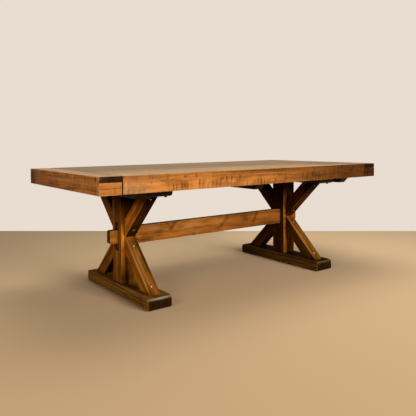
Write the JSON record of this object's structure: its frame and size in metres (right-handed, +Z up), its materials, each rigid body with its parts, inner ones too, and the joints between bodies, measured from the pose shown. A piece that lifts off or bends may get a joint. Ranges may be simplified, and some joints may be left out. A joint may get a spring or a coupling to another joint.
{
  "type": "sawbuck table",
  "caption": "Rustic trestle dining table: plank top with pull-out breadboard ends on crossed sawbuck braces, square posts and a wedged through-tenon stretcher.",
  "frame": {"origin": "on the floor, under the middle of the table top", "axes": "+X along the table, +Y across it towards the back, +Z up"},
  "size_m": [2.184, 1.067, 0.762],
  "materials": {
    "stained_top_boards": "satin lacquer over light brown stain",
    "stained_skirt_boards": "satin lacquer over golden brown stain, saw marks left in",
    "stained_base_timber": "satin lacquer over golden brown stain",
    "stained_under_frame": "one coat of brown stain",
    "plain_hardwood": "planed and waxed",
    "zinc_plated_steel": "bright zinc plate",
    "nylon_glide": "moulded"
  },
  "bodies": {
    "table": {"back_inner_guide": "plain_hardwood", "back_outer_guide": "plain_hardwood", "back_skirt_lower": "stained_skirt_boards", "back_skirt_upper": "stained_skirt_boards", "batten_screws": "zinc_plated_steel", "deck_plank_1": "stained_top_boards", "deck_plank_2": "stained_top_boards", "deck_plank_3": "stained_top_boards", "deck_plank_4": "stained_top_boards", "deck_plank_5": "stained_top_boards", "deck_plank_6": "stained_top_boards", "foot_glides": "nylon_glide", "frame_bolts": "zinc_plated_steel", "front_inner_guide": "plain_hardwood", "front_outer_guide": "plain_hardwood", "front_skirt_lower": "stained_skirt_boards", "front_skirt_upper": "stained_skirt_boards", "left_batten": "stained_under_frame", "left_brace_screws": "zinc_plated_steel", "left_foot": "stained_base_timber", "left_lower_back_brace": "stained_base_timber", "left_lower_front_brace": "stained_base_timber", "left_post": "stained_base_timber", "left_top_plate": "stained_under_frame", "left_upper_back_brace": "stained_base_timber", "left_upper_front_brace": "stained_base_timber", "middle_batten": "stained_under_frame", "plate_lag_screws": "zinc_plated_steel", "right_batten": "stained_under_frame", "right_brace_screws": "zinc_plated_steel", "right_foot": "stained_base_timber", "right_lower_back_brace": "stained_base_timber", "right_lower_front_brace": "stained_base_timber", "right_post": "stained_base_timber", "right_top_plate": "stained_under_frame", "right_upper_back_brace": "stained_base_timber", "right_upper_front_brace": "stained_base_timber", "stretcher": "stained_base_timber", "stretcher_screws": "zinc_plated_steel", "tenon_wedges": "stained_base_timber", "tie_nuts": "zinc_plated_steel", "tie_washers": "zinc_plated_steel"},
    "left_end": {"left_alignment_pins": "plain_hardwood", "left_back_return": "stained_skirt_boards", "left_back_slide_rail": "plain_hardwood", "left_end_plank": "stained_top_boards", "left_end_skirt": "stained_skirt_boards", "left_front_return": "stained_skirt_boards", "left_front_slide_rail": "plain_hardwood", "left_rail_screws": "zinc_plated_steel", "left_rail_stops": "plain_hardwood"},
    "right_end": {"right_alignment_pins": "plain_hardwood", "right_back_return": "stained_skirt_boards", "right_back_slide_rail": "plain_hardwood", "right_end_plank": "stained_top_boards", "right_end_skirt": "stained_skirt_boards", "right_front_return": "stained_skirt_boards", "right_front_slide_rail": "plain_hardwood", "right_rail_screws": "zinc_plated_steel", "right_rail_stops": "plain_hardwood"}
  },
  "joints": [
    {"name": "left_end_slide", "type": "slide", "parent": "table", "child": "left_end", "axis": [-1, 0, 0], "range_m": [-0.0065, 0.4055]},
    {"name": "right_end_slide", "type": "slide", "parent": "table", "child": "right_end", "axis": [1, 0, 0], "range_m": [0, 0.4055]}
  ]
}
